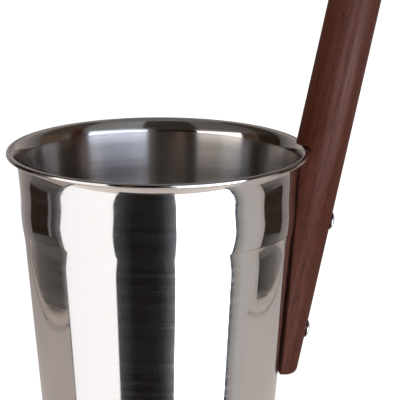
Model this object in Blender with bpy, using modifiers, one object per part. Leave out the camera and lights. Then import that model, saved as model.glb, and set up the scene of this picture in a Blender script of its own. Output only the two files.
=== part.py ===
"""Bath pail: a tapered steel vessel with a rolled rim, and a leaning wooden handle held by two screws.

Metres, +Z up. The origin is the middle of the flat base, and the handle leans out over +X.
"""

import math

import bmesh
import bpy
from mathutils import Matrix, Vector

MM = 0.001

# Pail: one drawn sheet
PAIL_HEIGHT = 200.0 * MM
RIM_RADIUS = 100.0 * MM
FOOT_RADIUS = 74.75 * MM  # of the straight wall, carried down to the base plane
WALL_TAPER = 0.0938  # how much the radius grows for each unit of height
SHEET = 0.8 * MM
BASE_CORNER = 10.0 * MM

# Rolled edge and the flare that leads into it
CURL_RADIUS = 1.75 * MM
CURL_SWEEP = math.radians(225)
FLARE_START = 184.0 * MM

# Swelling band under the rim: it leans out up to a crease and falls back to a neck, and the slopes are
# measured from the straight wall
BAND_FOOT = 136.0 * MM
CREASE_HEIGHT = 148.5 * MM
CREASE_WIDTH = 0.6 * MM
SLOPE_UNDER_CREASE = 0.11
SLOPE_OVER_CREASE = 0.055
NECK_HEIGHT = 163.0 * MM
NECK_SLOPE = -0.10
BAND_TOP = 176.0 * MM

# Handle: a round bar, placed by where its axis passes the middle of the rolled edge
HANDLE_DIAMETER = 34.0 * MM
HANDLE_LEAN = math.atan(0.221)
HANDLE_AXIS_RADIUS = 109.7 * MM
HANDLE_BELOW_RIM = 155.5 * MM
HANDLE_ABOVE_RIM = 150.5 * MM
HANDLE_END_ROUND = 5.0 * MM

# Groove in the handle, which follows the rolled edge and the flare under it
GROOVE_CLEARANCE = 0.6 * MM
GROOVE_BEVEL = 4.0 * MM  # how far down the flare it is followed

# Fastenings, M5: where each screw crosses the handle's axis, measured down the axis from the rim
UPPER_SCREW_DROP = 48.8 * MM
LOWER_SCREW_DROP = 124.1 * MM
UPPER_SCREW_LENGTH = 35.0 * MM
LOWER_SCREW_LENGTH = 30.0 * MM
SCREW_RADIUS = 2.5 * MM
SCREW_TIP_CHAMFER = 0.6 * MM
HEAD_RADIUS = 5.85 * MM
HEAD_EDGE = 0.45 * MM
HEAD_DOME = 1.9 * MM
DRIVE_LENGTH = 5.2 * MM
DRIVE_WIDTH = 1.2 * MM
DRIVE_DEPTH = 1.5 * MM
HOLE_RADIUS = 2.8 * MM
WASHER_RADIUS = 5.0 * MM
WASHER_THICKNESS = 1.0 * MM
SEAL_THICKNESS = 1.4 * MM  # on the screw's axis; the outer face follows the wall
NUT_ACROSS_FLATS = 8.0 * MM
NUT_HEX_HEIGHT = 4.0 * MM
NUT_HEIGHT = 10.0 * MM
NUT_DOME_RADIUS = 3.75 * MM
NUT_BORE_DEPTH = 7.5 * MM
NUT_EDGE = 0.35 * MM

# Room left between pieces that bear on each other
SEAT_GAP = 0.3 * MM

PAIL_STEPS = 60
HANDLE_STEPS = 48
HOLE_STEPS = 20
FASTENER_STEPS = 24

# Worked out from the driving dimensions
CURL_HEIGHT = PAIL_HEIGHT - CURL_RADIUS
CURL_MIDDLE = RIM_RADIUS - CURL_RADIUS
BAND_SLOPES = (
    (BAND_FOOT, 0.0),
    (CREASE_HEIGHT - CREASE_WIDTH / 2, SLOPE_UNDER_CREASE),
    (CREASE_HEIGHT + CREASE_WIDTH / 2, SLOPE_OVER_CREASE),
    (NECK_HEIGHT, NECK_SLOPE),
    (BAND_TOP, 0.0),
)
HANDLE_RADIUS = HANDLE_DIAMETER / 2
HANDLE_PLACE = Vector((HANDLE_AXIS_RADIUS, 0.0, CURL_HEIGHT))
HANDLE_AXIS = Vector((math.sin(HANDLE_LEAN), 0.0, math.cos(HANDLE_LEAN)))
SCREW_OUTWARD = Vector((math.cos(HANDLE_LEAN), 0.0, -math.sin(HANDLE_LEAN)))


def clear_scene():
    for thing in list(bpy.data.objects):
        bpy.data.objects.remove(thing)


def new_collection(name):
    collection = bpy.data.collections.new(name)
    bpy.context.scene.collection.children.link(collection)
    return collection


def finish(name, colour, roughness, metallic):
    """A Principled material of one colour."""
    material = bpy.data.materials.new(name)
    material.use_nodes = True
    shader = material.node_tree.nodes["Principled BSDF"]
    shader.inputs["Base Color"].default_value = (*colour, 1.0)
    shader.inputs["Roughness"].default_value = roughness
    shader.inputs["Metallic"].default_value = metallic
    return material


def wall_radius(height):
    """Outer radius of the wall: a straight taper, and a band whose slope changes evenly from row to row."""
    radius = FOOT_RADIUS + WALL_TAPER * height
    for (low, slope), (high, next_slope) in zip(BAND_SLOPES, BAND_SLOPES[1:]):
        climb = min(max(height - low, 0.0), high - low)
        bend = (next_slope - slope) / (high - low)
        radius += slope * climb + bend * climb**2 / 2
    return radius


def band_rise():
    """How far the band stands out from the straight wall, where its slope passes through zero."""
    low, slope = BAND_SLOPES[2]
    crest = low + (NECK_HEIGHT - low) * slope / (slope - NECK_SLOPE)
    return wall_radius(crest) - FOOT_RADIUS - WALL_TAPER * crest


def spread(low, high, steps):
    """Evenly spaced values from low to high, both ends included."""
    return [low + (high - low) * i / steps for i in range(steps + 1)]


def quarter_curve(start, corner, end, steps):
    """A quarter ellipse from start to end, touching the straight lines that meet at the corner."""
    start, corner, end = Vector(start), Vector(corner), Vector(end)
    middle = start + end - corner
    points = []
    for turn in spread(0.0, math.pi / 2, steps):
        points.append(middle + (corner - end) * math.cos(turn) + (corner - start) * math.sin(turn))
    return [tuple(point) for point in points]


def curl_arc(radius, first, last, steps):
    """Points on the rolled edge's section, by angle from the outward direction."""
    return [
        (CURL_MIDDLE + radius * math.cos(angle), CURL_HEIGHT + radius * math.sin(angle))
        for angle in spread(first, last, steps)
    ]


def wall_side(inset):
    """The wall's outline from the base corner up to the neck, moved in by the inset."""
    rows = [height for height, _ in BAND_SLOPES]
    heights = [BASE_CORNER, *spread(rows[0], rows[1], 3), *spread(rows[2], rows[3], 5)]
    heights += [*spread(rows[3], rows[4], 4)[1:], FLARE_START]
    return [(wall_radius(height) - inset, height) for height in heights]


def flare_side(inset, steps):
    """The wall's turn outwards, from the neck to the top of the curl."""
    start = (wall_radius(FLARE_START) - inset, FLARE_START)
    top = PAIL_HEIGHT - SHEET + inset
    corner = (wall_radius(top) - inset, top)
    return quarter_curve(start, corner, (CURL_MIDDLE, top), steps)


def flare_radius(height):
    """Outer radius of the flare at a height."""
    top = PAIL_HEIGHT - SHEET
    reach = CURL_MIDDLE - wall_radius(top)
    share = (height - FLARE_START) / (top - FLARE_START)
    return wall_radius(height) + reach * (1 - math.sqrt(1 - share**2))


def pail_side(inset, steps=5):
    """One face of the sheet, from the base's flat to the top of the curl.

    The outer face has no inset, and the inner face an inset of one sheet.
    """
    side = wall_side(inset)
    floor = inset
    base_flat = (FOOT_RADIUS - BASE_CORNER, floor)
    base_corner = (FOOT_RADIUS + WALL_TAPER * floor - inset, floor)
    base = quarter_curve(base_flat, base_corner, side[0], steps)
    return base + side[1:-1] + flare_side(inset, steps)


def turned(name, outline, steps, material, collection, closed=False):
    """A solid turned about its own Z axis from (radius, height) pairs that run down its outer side."""
    mesh = bpy.data.meshes.new(name)
    points = [(radius, 0.0, height) for radius, height in outline]
    edges = [(i, i + 1) for i in range(len(points) - 1)]
    if closed:
        edges.append((len(points) - 1, 0))
    mesh.from_pydata(points, edges, [])
    part = bpy.data.objects.new(name, mesh)
    collection.objects.link(part)
    if material:
        mesh.materials.append(material)
    sweep = part.modifiers.new("turn", "SCREW")
    sweep.axis = "Z"
    sweep.steps = steps
    sweep.render_steps = steps
    sweep.use_merge_vertices = True
    sweep.merge_threshold = 0.00001
    sweep.use_smooth_shade = True
    return part


def helper(part):
    """Marks a cutter or guide, which shapes other pieces and isn't a piece itself."""
    part.hide_render = True
    part.display_type = "WIRE"
    return part


def box_cutter(name, low, high, collection):
    """A box between two corners in its own frame."""
    mesh = bpy.data.meshes.new(name)
    shape = bmesh.new()
    size = Vector(high) - Vector(low)
    middle = (Vector(high) + Vector(low)) / 2
    bmesh.ops.create_cube(shape, matrix=Matrix.Translation(middle) @ Matrix.Diagonal((*size, 1.0)))
    shape.to_mesh(mesh)
    shape.free()
    part = bpy.data.objects.new(name, mesh)
    collection.objects.link(part)
    return helper(part)


def round_cutter(name, sides, radius, low, high, collection):
    """A straight bar along its own Z axis, between two heights."""
    bpy.ops.mesh.primitive_cylinder_add(vertices=sides, radius=radius, depth=high - low)
    part = bpy.context.object
    part.name = name
    part.location.z = (low + high) / 2
    part.users_collection[0].objects.unlink(part)
    collection.objects.link(part)
    return helper(part)


def cut(part, other, operation="DIFFERENCE"):
    change = part.modifiers.new(other.name, "BOOLEAN")
    change.operation = operation
    change.object = other


def make_pail(collection, material):
    """The drawn vessel: up the inside, over the rolled edge, back under it and down the outside."""
    curl_end = math.pi / 2 - CURL_SWEEP
    rolled = curl_arc(CURL_RADIUS, math.pi / 2, curl_end, 9)
    inside_roll = curl_arc(CURL_RADIUS - SHEET, curl_end, math.pi / 2, 5)
    inner = [(0.0, SHEET), *pail_side(SHEET)]
    outer = [(0.0, 0.0), *pail_side(0.0)]
    outline = inner + rolled[1:] + inside_roll[:-1] + outer[::-1]
    return turned("pail", outline, PAIL_STEPS, material, collection)


def groove_outline():
    """Section of the room that the rim takes in the handle: round the curl and down along the flare."""
    radius = CURL_RADIUS + GROOVE_CLEARANCE
    round_curl = curl_arc(radius, math.pi / 2, -math.pi / 2, 8)
    lip = CURL_HEIGHT - radius
    bevel = [(flare_radius(height) + GROOVE_CLEARANCE, height) for height in (lip, lip - GROOVE_BEVEL)]
    return [(0.0, CURL_HEIGHT + radius), *round_curl, *bevel, (0.0, lip - GROOVE_BEVEL)]


def make_handle(collection, cutters, material):
    """The bar, round at both ends, with its seat cut parallel to the wall and its groove for the rim."""
    rim = HANDLE_RADIUS
    flat = HANDLE_RADIUS - HANDLE_END_ROUND
    top, bottom = HANDLE_ABOVE_RIM, -HANDLE_BELOW_RIM
    upper_end = quarter_curve((flat, top), (rim, top), (rim, top - HANDLE_END_ROUND), 4)
    lower_end = quarter_curve((rim, bottom + HANDLE_END_ROUND), (rim, bottom), (flat, bottom), 4)
    outline = [(0.0, top), *upper_end, *lower_end, (0.0, bottom)]
    handle = turned("handle", outline, HANDLE_STEPS, material, collection)
    handle.location = HANDLE_PLACE
    handle.rotation_euler = (0.0, HANDLE_LEAN, 0.0)

    clear = 2 * HANDLE_DIAMETER
    seat = box_cutter("seat_cutter", (-clear, -clear, -PAIL_HEIGHT), (0.0, clear, 0.0), cutters)
    seat_foot = FOOT_RADIUS + band_rise() + SEAT_GAP
    seat.location = (seat_foot + WALL_TAPER * CURL_HEIGHT, 0.0, CURL_HEIGHT)
    seat.rotation_euler = (0.0, math.atan(WALL_TAPER), 0.0)
    cut(handle, seat)

    cut(handle, helper(turned("groove_cutter", groove_outline(), PAIL_STEPS, None, cutters)))
    return handle


def depth_to_inside(crest):
    """How far in from the handle's outer surface a screw reaches the pail's inner face."""
    depth = HANDLE_RADIUS
    for _ in range(8):
        height = crest.z - depth * SCREW_OUTWARD.z
        depth = (crest.x - wall_radius(height) + SHEET) / SCREW_OUTWARD.x
    return depth


def screw_outline(length):
    """Domed head above, plain shank below, with the head's underside at one seat gap over the wood."""
    under = SEAT_GAP
    tip = under - length
    ball = (HEAD_RADIUS**2 + HEAD_DOME**2) / (2 * HEAD_DOME)
    centre = under + HEAD_EDGE + HEAD_DOME - ball
    dome = [
        (ball * math.sin(angle), centre + ball * math.cos(angle))
        for angle in spread(0.0, math.asin(HEAD_RADIUS / ball), 5)
    ]
    shank = [(SCREW_RADIUS, under), (SCREW_RADIUS, tip + SCREW_TIP_CHAMFER)]
    end = [(SCREW_RADIUS - SCREW_TIP_CHAMFER, tip), (0.0, tip)]
    return [*dome, (HEAD_RADIUS, under), *shank, *end]


def ring_outline(radius, low, high):
    """Section of a flat ring with the screw hole in it."""
    return [(radius, high), (radius, low), (HOLE_RADIUS, low), (HOLE_RADIUS, high)]


def nut_outline(seat):
    """Cap nut seen in section: blind hole, seat face, hexagon's envelope and domed end inwards."""
    corner = NUT_ACROSS_FLATS / math.sqrt(3) + NUT_EDGE
    crown = seat - NUT_HEIGHT
    bore_end = seat - NUT_BORE_DEPTH
    hole = [(0.0, bore_end - HOLE_RADIUS / 3), (HOLE_RADIUS, bore_end), (HOLE_RADIUS, seat)]
    hexagon = [
        (NUT_ACROSS_FLATS / 2, seat),
        (corner, seat - 2 * NUT_EDGE),
        (corner, seat - NUT_HEX_HEIGHT + 2 * NUT_EDGE),
        (NUT_DOME_RADIUS, seat - NUT_HEX_HEIGHT),
    ]
    dome_foot = (NUT_DOME_RADIUS, crown + NUT_DOME_RADIUS)
    dome = quarter_curve(dome_foot, (NUT_DOME_RADIUS, crown), (0.0, crown), 5)
    return hole + hexagon + dome


def make_fastening(place, drop, length, collection, cutters, finishes, pail, handle, pail_space):
    """One screw with its seal, washer and cap nut, on an empty whose Z axis points out of the wood."""
    crest = HANDLE_PLACE - HANDLE_AXIS * drop + SCREW_OUTWARD * HANDLE_RADIUS
    frame = bpy.data.objects.new(f"{place}_fastening", None)
    frame.location = crest
    frame.rotation_euler = (0.0, math.pi / 2 + HANDLE_LEAN, 0.0)
    frame.empty_display_size = HEAD_RADIUS
    collection.objects.link(frame)

    inside = -depth_to_inside(crest)
    seal_face = inside - SEAT_GAP - SEAL_THICKNESS
    washer_top = seal_face - SEAT_GAP
    washer_face = washer_top - WASHER_THICKNESS
    nut_seat = washer_face - SEAT_GAP

    def piece(kind, outline, closed=False):
        name = f"{place}_{kind}"
        part = turned(name, outline, FASTENER_STEPS, finishes[kind], collection, closed)
        part.parent = frame
        return part

    screw = piece("screw", screw_outline(length))
    head_top = SEAT_GAP + HEAD_EDGE + HEAD_DOME
    low = (-DRIVE_LENGTH / 2, -DRIVE_WIDTH / 2, head_top - DRIVE_DEPTH)
    high = (DRIVE_LENGTH / 2, DRIVE_WIDTH / 2, head_top + HEAD_DOME)
    for turn in (0.0, math.pi / 2):
        slot = box_cutter(f"{place}_drive_cutter", low, high, cutters)
        slot.rotation_euler = (0.0, 0.0, turn)
        slot.parent = frame
        cut(screw, slot)

    seal = piece("seal", ring_outline(WASHER_RADIUS, seal_face, inside + BASE_CORNER), closed=True)
    cut(seal, pail_space, "INTERSECT")
    piece("washer", ring_outline(WASHER_RADIUS, washer_face, washer_top), closed=True)

    nut = piece("cap_nut", nut_outline(nut_seat))
    across_corners = 2 * NUT_ACROSS_FLATS / math.sqrt(3)
    low, high = nut_seat - 2 * NUT_HEIGHT, nut_seat + 2 * NUT_HEIGHT
    hexagon = round_cutter(f"{place}_hexagon", 6, across_corners / 2, low, high, cutters)
    hexagon.parent = frame
    cut(nut, hexagon, "INTERSECT")

    low, high = inside - BASE_CORNER, BASE_CORNER
    drill = round_cutter(f"{place}_drill", HOLE_STEPS, HOLE_RADIUS, low, high, cutters)
    drill.parent = frame
    cut(handle, drill)
    cut(pail, drill)


def main():
    clear_scene()
    parts = new_collection("bath_pail")
    cutters = new_collection("cutters")
    steel = finish("polished_steel", (0.62, 0.60, 0.58), 0.08, 1.0)
    wood = finish("stained_wood", (0.105, 0.042, 0.028), 0.42, 0.0)
    finishes = {
        "screw": finish("screw_steel", (0.66, 0.65, 0.63), 0.18, 1.0),
        "seal": finish("seal_rubber", (0.018, 0.018, 0.019), 0.65, 0.0),
        "washer": finish("washer_steel", (0.60, 0.59, 0.58), 0.25, 1.0),
        "cap_nut": finish("nut_steel", (0.66, 0.65, 0.64), 0.15, 1.0),
    }

    pail = make_pail(parts, steel)
    handle = make_handle(parts, cutters, wood)
    inset = SHEET + SEAT_GAP
    space = [(0.0, FLARE_START), *wall_side(inset)[::-1], (0.0, BASE_CORNER)]
    pail_space = helper(turned("pail_space", space, PAIL_STEPS, None, cutters))
    fastenings = (
        ("upper", UPPER_SCREW_DROP, UPPER_SCREW_LENGTH),
        ("lower", LOWER_SCREW_DROP, LOWER_SCREW_LENGTH),
    )
    for place, drop, length in fastenings:
        make_fastening(place, drop, length, parts, cutters, finishes, pail, handle, pail_space)


main()
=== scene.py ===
"""Bath pail of polished steel with a leaning wooden handle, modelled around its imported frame.

The file is laid out as an add-on: the sizes and finishes are properties, and every piece has an
operator. Lengths are in metres, +Z is up, and the handle leans out over +X.
"""

import math
from functools import partial

import bmesh
import bpy
from bpy.props import FloatProperty, FloatVectorProperty, IntProperty, PointerProperty
from bpy.types import Operator, Panel, PropertyGroup
from mathutils import Matrix, Vector


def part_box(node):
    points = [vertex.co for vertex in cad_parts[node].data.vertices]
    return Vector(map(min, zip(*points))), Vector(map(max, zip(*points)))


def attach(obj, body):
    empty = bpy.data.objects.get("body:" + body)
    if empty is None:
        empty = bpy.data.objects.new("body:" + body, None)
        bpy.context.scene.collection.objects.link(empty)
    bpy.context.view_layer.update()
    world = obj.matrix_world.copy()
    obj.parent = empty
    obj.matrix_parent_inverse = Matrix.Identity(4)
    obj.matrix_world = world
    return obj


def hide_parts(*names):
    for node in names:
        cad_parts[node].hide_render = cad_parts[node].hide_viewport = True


bl_info = {
    "name": "Bath pail",
    "version": (1, 0, 0),
    "blender": (4, 5, 0),
    "location": "3D View > Sidebar > Bath pail",
    "description": "Models a polished steel bath pail with a wooden handle around its packed frame",
    "category": "Object",
}

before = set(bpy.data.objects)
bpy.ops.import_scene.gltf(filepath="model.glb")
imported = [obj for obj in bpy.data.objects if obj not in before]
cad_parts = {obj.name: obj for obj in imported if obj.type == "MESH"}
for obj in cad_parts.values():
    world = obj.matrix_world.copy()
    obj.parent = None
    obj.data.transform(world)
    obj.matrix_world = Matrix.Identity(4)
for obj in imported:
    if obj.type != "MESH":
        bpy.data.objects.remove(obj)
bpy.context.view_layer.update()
PAIL_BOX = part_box("pail")

MM = 0.001
MERGE_DISTANCE = 0.005 * MM
CLEAR = 10 * MM  # how far a cutting tool reaches past what it cuts
FULL_TURN = 2 * math.pi
QUARTER_TURN = math.pi / 2
SHARP = math.radians(35)
BLACK = (0.0, 0.0, 0.0)
WHITE = (1.0, 1.0, 1.0)


def number(name, description, default, kind=FloatProperty, **settings):
    """A property that the sidebar shows, with its name, description and default."""
    return kind(name=name, description=description, default=default, **settings)


# Lengths are in metres, a slope is sideways growth for each unit of height, and a share is from 0 to 1.
length = partial(number, unit="LENGTH", precision=5)
slope = partial(number, precision=4)
angle = partial(number, subtype="ANGLE")
share = partial(number, subtype="FACTOR", min=0.0, max=1.0)
colour = partial(number, kind=FloatVectorProperty, subtype="COLOR", size=3, min=0.0, max=1.0)
facets = partial(number, "Steps", kind=IntProperty, min=12)


class PailSizes(PropertyGroup):
    """The drawn steel vessel."""

    height: length("Height", "From the base to the top of the rolled edge", PAIL_BOX[1].z)
    rim_radius: length("Rim radius", "To the outside of the rolled edge", PAIL_BOX[1].x)
    foot_radius: length("Foot radius", "Of the straight wall, carried down to the base plane", 74.75 * MM)
    taper: slope("Taper", "Growth of the radius for each unit of height", 0.0938)
    sheet: length("Sheet", "Thickness of the steel", 0.8 * MM)
    base_corner: length("Base corner", "Radius between the base and the wall", 10.0 * MM)
    curl_radius: length("Curl radius", "Of the rolled edge's section", 1.75 * MM)
    curl_sweep: angle("Curl sweep", "How far the edge is rolled", math.radians(225))
    flare_start: length("Flare start", "Height at which the wall starts to turn out", 184.0 * MM)
    polish_foot: length("Polish foot", "Height down to which the flare is polished inside", 191.5 * MM)
    band_foot: length("Band foot", "Lower end of the swelling band under the rim", 136.0 * MM)
    crease_height: length("Crease height", "Of the crease round the band", 148.5 * MM)
    crease_width: length("Crease width", "Over which the wall turns at the crease", 0.6 * MM)
    slope_under_crease: slope("Slope under the crease", "Measured from the straight wall", 0.11)
    slope_over_crease: slope("Slope over the crease", "Measured from the straight wall", 0.055)
    neck_height: length("Neck height", "Where the band falls back most steeply", 163.0 * MM)
    neck_slope: slope("Neck slope", "Measured from the straight wall", -0.10)
    band_top: length("Band top", "Upper end of the band", 176.0 * MM)
    steps: facets("Facets round the vessel", 180)

    @property
    def curl_height(self):
        """Height of the middle of the rolled edge's section."""
        return self.height - self.curl_radius

    @property
    def curl_reach(self):
        """Radius of the middle of the rolled edge's section."""
        return self.rim_radius - self.curl_radius


class HandleSizes(PropertyGroup):
    """The round wooden handle, placed by where its axis passes the middle of the rolled edge."""

    diameter: length("Diameter", "Of the round bar", 34.0 * MM)
    lean: angle("Lean", "Tilt of the bar away from the pail", math.atan(0.221))
    axis_radius: length("Axis radius", "From the pail's axis to the bar's, at the rolled edge", 109.7 * MM)
    below_rim: length("Below the rim", "Length of the bar under the rolled edge", 155.5 * MM)
    above_rim: length("Above the rim", "Length of the bar over the rolled edge", 150.1 * MM)
    end_round: length("End round", "Radius at both ends", 5.0 * MM)
    seat_gap: length("Seat gap", "Room between pieces that bear on each other", 0.3 * MM)
    groove_clearance: length("Groove clearance", "Room round the rolled edge and down the flare", 0.6 * MM)
    groove_bevel: length("Groove bevel", "Height of the bevel under the groove", 4.0 * MM)
    eased_edge: length("Eased edge", "Round on the sanded edges of the seat and groove", 0.5 * MM)
    steps: facets("Facets round the bar", 96)


class FasteningSizes(PropertyGroup):
    """The two screws with their seals, washers and cap nuts."""

    upper_drop: length("Upper drop", "From the rim down the handle's axis to the upper screw", 48.8 * MM)
    lower_drop: length("Lower drop", "From the rim down the handle's axis to the lower screw", 124.1 * MM)
    upper_length: length("Upper length", "Of the upper screw's shank", 35.0 * MM)
    lower_length: length("Lower length", "Of the lower screw's shank", 30.0 * MM)
    shank_radius: length("Shank radius", "Of both screws", 2.5 * MM)
    tip_chamfer: length("Tip chamfer", "At the end of the shank", 0.6 * MM)
    head_radius: length("Head radius", "Of the domed heads", 5.85 * MM)
    head_edge: length("Head edge", "Height of the straight rim under the dome", 0.45 * MM)
    head_dome: length("Head dome", "Height of the dome", 1.9 * MM)
    drive_length: length("Drive length", "Across the cross recess, at the top", 5.2 * MM)
    drive_width: length("Drive width", "Of each arm of the cross recess", 1.2 * MM)
    drive_depth: length("Drive depth", "Of the cross recess", 1.5 * MM)
    hole_radius: length("Hole radius", "Through the wood, the wall and the rings", 2.8 * MM)
    washer_radius: length("Washer radius", "Of the washers and seals", 5.0 * MM)
    washer_thickness: length("Washer thickness", "Of the steel washers", 1.0 * MM)
    seal_thickness: length("Seal thickness", "On the screw's axis", 1.4 * MM)
    nut_across_flats: length("Nut across flats", "Of the cap nuts", 8.0 * MM)
    nut_hex_height: length("Nut hexagon", "Height of the hexagon", 4.0 * MM)
    nut_height: length("Nut height", "With the dome", 10.0 * MM)
    nut_dome_radius: length("Nut dome", "Radius of the domed end", 3.75 * MM)
    nut_bore_depth: length("Nut bore", "Depth of the blind hole", 7.5 * MM)
    nut_edge: length("Nut edge", "Chamfer on the hexagon", 0.35 * MM)
    steps: facets("Facets round the small parts", 64)


class FinishSettings(PropertyGroup):
    """Colours and gloss of the materials."""

    steel: colour("Steel", "Polished stainless steel", (0.62, 0.60, 0.58))
    steel_outside_roughness: share("Outside roughness", "Of the polished outside", 0.05)
    steel_lip_roughness: share("Lip roughness", "Of the polished flare inside the rim", 0.11)
    steel_inside: colour("Steel, inside", "Brushed stainless steel", (0.625, 0.595, 0.565))
    steel_inside_roughness: share("Inside roughness", "Of the brushed inside", 0.24)
    fastener_steel: colour("Fastener steel", "Screws, washers and cap nuts", (0.65, 0.64, 0.62))
    wood_dark: colour("Wood, dark", "Stain in the late wood", (0.060, 0.015, 0.007))
    wood_middle: colour("Wood, middle", "Stain over most of the handle", (0.104, 0.027, 0.013))
    wood_light: colour("Wood, light", "Stain in the early wood", (0.132, 0.034, 0.017))
    wood_pore: colour("Wood, pores", "Stain that has gathered in the pores", (0.018, 0.007, 0.004))
    wood_roughness: share("Wood roughness", "Of the satin varnish", 0.70)
    rubber: colour("Rubber", "Seals", (0.018, 0.018, 0.019))


class StageSettings(PropertyGroup):
    """Camera, light and the studio that the steel reflects."""

    azimuth: angle("Azimuth", "Of the camera, from the front towards the handle", math.radians(-9.85))
    elevation: angle("Elevation", "Of the camera above its aim", math.radians(13.68))
    distance: length("Distance", "From the camera to its aim", 2.4)
    lens: number("Lens", "Focal length in millimetres", 328.9)
    aim_right: length("Aim right", "Across the picture, from the rim's middle to the aim", 27.59 * MM)
    aim_up: length("Aim up", "Up the picture, from the rim's middle to the aim", -31.53 * MM)
    ambient: number("Ambient", "Strength of the even light from all round", 0.5)
    lamp_power: number("Lamps", "Power that each lamp has a share of", 5.0, unit="POWER")
    floor_lift: share("Floor lift", "Glow that brings the lit floor up to white", 0.62)


# Spacing of the wall's rows of points, and the facets along each curve of the sections.
ROW_HEIGHT = 2 * MM
BASE_STEPS = 10
FLARE_STEPS = 16
CURL_STEPS = 24
INNER_CURL_STEPS = 12
HEAD_DOME_STEPS = 12
NUT_DOME_STEPS = 10


def band_slopes(sizes):
    """Heights of the band's rows, and the wall's slope there, measured from the straight wall."""
    half = sizes.crease_width / 2
    return (
        (sizes.band_foot, 0.0),
        (sizes.crease_height - half, sizes.slope_under_crease),
        (sizes.crease_height + half, sizes.slope_over_crease),
        (sizes.neck_height, sizes.neck_slope),
        (sizes.band_top, 0.0),
    )


def wall_radius(sizes, height):
    """Outer radius of the wall: a straight taper, and a band whose slope changes evenly by rows."""
    radius = sizes.foot_radius + sizes.taper * height
    rows = band_slopes(sizes)
    for (low, lean), (high, next_lean) in zip(rows, rows[1:]):
        climb = min(max(height - low, 0.0), high - low)
        bend = (next_lean - lean) / (high - low)
        radius += lean * climb + bend * climb**2 / 2
    return radius


def band_rise(sizes):
    """How far the band stands out from the straight wall, where its slope passes through zero."""
    low, lean = band_slopes(sizes)[2]
    crest = low + (sizes.neck_height - low) * lean / (lean - sizes.neck_slope)
    return wall_radius(sizes, crest) - sizes.foot_radius - sizes.taper * crest


def flare_radius(sizes, height):
    """Outer radius of the flare at a height."""
    top = sizes.height - sizes.sheet
    reach = sizes.curl_reach - wall_radius(sizes, top)
    part = (height - sizes.flare_start) / (top - sizes.flare_start)
    return wall_radius(sizes, height) + reach * (1 - math.sqrt(1 - part**2))


def spread(low, high, steps):
    """Evenly spaced values from low to high, both ends included."""
    return [low + (high - low) * i / steps for i in range(steps + 1)]


def quarter_curve(start, corner, end, steps):
    """A quarter ellipse from start to end, touching the straight lines that meet at the corner."""
    start, corner, end = Vector(start), Vector(corner), Vector(end)
    middle = start + end - corner
    points = []
    for turn in spread(0.0, QUARTER_TURN, steps):
        points.append(middle + (corner - end) * math.cos(turn) + (corner - start) * math.sin(turn))
    return [tuple(point) for point in points]


def wall_outline(sizes, inset):
    """The wall from the base corner up to the flare, row by row, moved in by the inset."""
    rows = round((sizes.flare_start - sizes.base_corner) / ROW_HEIGHT)
    heights = spread(sizes.base_corner, sizes.flare_start, rows)
    heights += [height for height, _ in band_slopes(sizes)]
    return [(wall_radius(sizes, height) - inset, height) for height in sorted(heights)]


def side_outline(sizes, inset):
    """One face of the sheet from the base's flat to the top of the curl."""
    side = wall_outline(sizes, inset)
    base_flat = (sizes.foot_radius - sizes.base_corner, inset)
    base_corner = (sizes.foot_radius + sizes.taper * inset - inset, inset)
    flare_top = sizes.height - sizes.sheet + inset
    flare_corner = (wall_radius(sizes, flare_top) - inset, flare_top)
    base = quarter_curve(base_flat, base_corner, side[0], BASE_STEPS)
    flare = quarter_curve(side[-1], flare_corner, (sizes.curl_reach, flare_top), FLARE_STEPS)
    return base + side[1:-1] + flare


def curl_arc(sizes, radius, first, last, steps):
    """An arc about the middle of the rolled edge's section."""
    points = []
    for turn in spread(first, last, steps):
        across = radius * math.cos(turn)
        up = radius * math.sin(turn)
        points.append((sizes.curl_reach + across, sizes.curl_height + up))
    return points


def pail_outline(sizes):
    """The sheet's section: up the inside, over the rolled edge, back under it and down the outside."""
    end = QUARTER_TURN - sizes.curl_sweep
    rolled = curl_arc(sizes, sizes.curl_radius, QUARTER_TURN, end, CURL_STEPS)
    inside_roll = curl_arc(sizes, sizes.curl_radius - sizes.sheet, end, QUARTER_TURN, INNER_CURL_STEPS)
    inner = [(0.0, sizes.sheet), *side_outline(sizes, sizes.sheet)]
    outer = [(0.0, 0.0), *side_outline(sizes, 0.0)]
    return inner + rolled[1:] + inside_roll[:-1] + outer[::-1]


def ring_outline(sizes, low, high):
    """Closed section of a flat ring with the screw hole in it."""
    outer = sizes.washer_radius
    hole = sizes.hole_radius
    return [(outer, high), (outer, low), (hole, low), (hole, high), (outer, high)]


def deselect():
    """Leaves edit mode, and leaves nothing selected."""
    if bpy.context.object and bpy.context.object.mode != "OBJECT":
        bpy.ops.object.mode_set(mode="OBJECT")
    bpy.ops.object.select_all(action="DESELECT")


def activate(piece):
    """Makes a piece the only one that operators act on."""
    deselect()
    piece.select_set(True)
    bpy.context.view_layer.objects.active = piece


def named(name):
    """Gives its name to the primitive that was just added, and to its mesh."""
    piece = bpy.context.object
    piece.name = name
    piece.data.name = name
    return piece


def select_where(piece, kind, test):
    """Opens a piece in edit mode, and selects the faces or edges that pass a test."""
    bpy.ops.object.mode_set(mode="EDIT")
    bpy.ops.mesh.select_mode(type=kind)
    bpy.ops.mesh.select_all(action="DESELECT")
    shape = bmesh.from_edit_mesh(piece.data)
    for element in shape.faces if kind == "FACE" else shape.edges:
        element.select = test(element)
    bmesh.update_edit_mesh(piece.data)


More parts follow.
